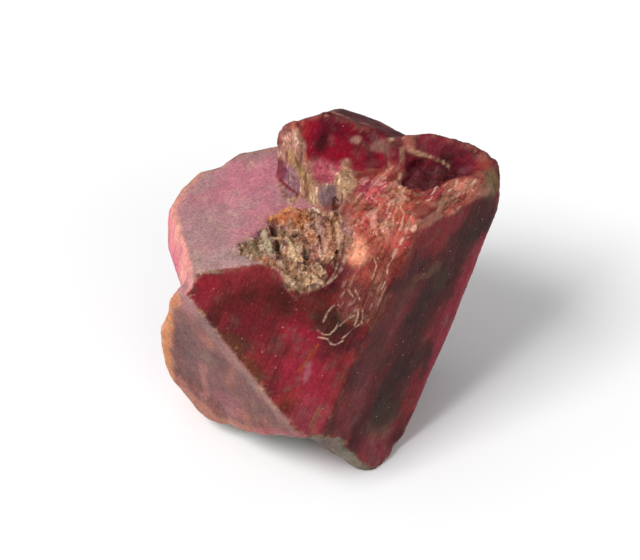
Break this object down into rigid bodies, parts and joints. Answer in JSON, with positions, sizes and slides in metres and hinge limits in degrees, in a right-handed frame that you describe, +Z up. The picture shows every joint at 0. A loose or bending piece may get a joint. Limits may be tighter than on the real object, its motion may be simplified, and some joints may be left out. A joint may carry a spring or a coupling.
{
  "type": "raw spinel crystal",
  "caption": "Uncut dark red spinel crystal: an octahedral cluster grown in parallel steps, with rough host rock in the corner between its upper faces, resting on a broken underside.",
  "frame": {"origin": "centre of the bounding box at the resting face", "axes": "+Z up from the resting face; +X to the right across the big front triangle, along the longest extent; -Y towards the front triangle"},
  "size_m": [0.028, 0.027, 0.0246],
  "materials": {
    "spinel": "natural crystal faces, waxy to glassy, nearly opaque dark red"
  },
  "bodies": {
    "root": {"spinel_crystal": "spinel"}
  },
  "joints": []
}
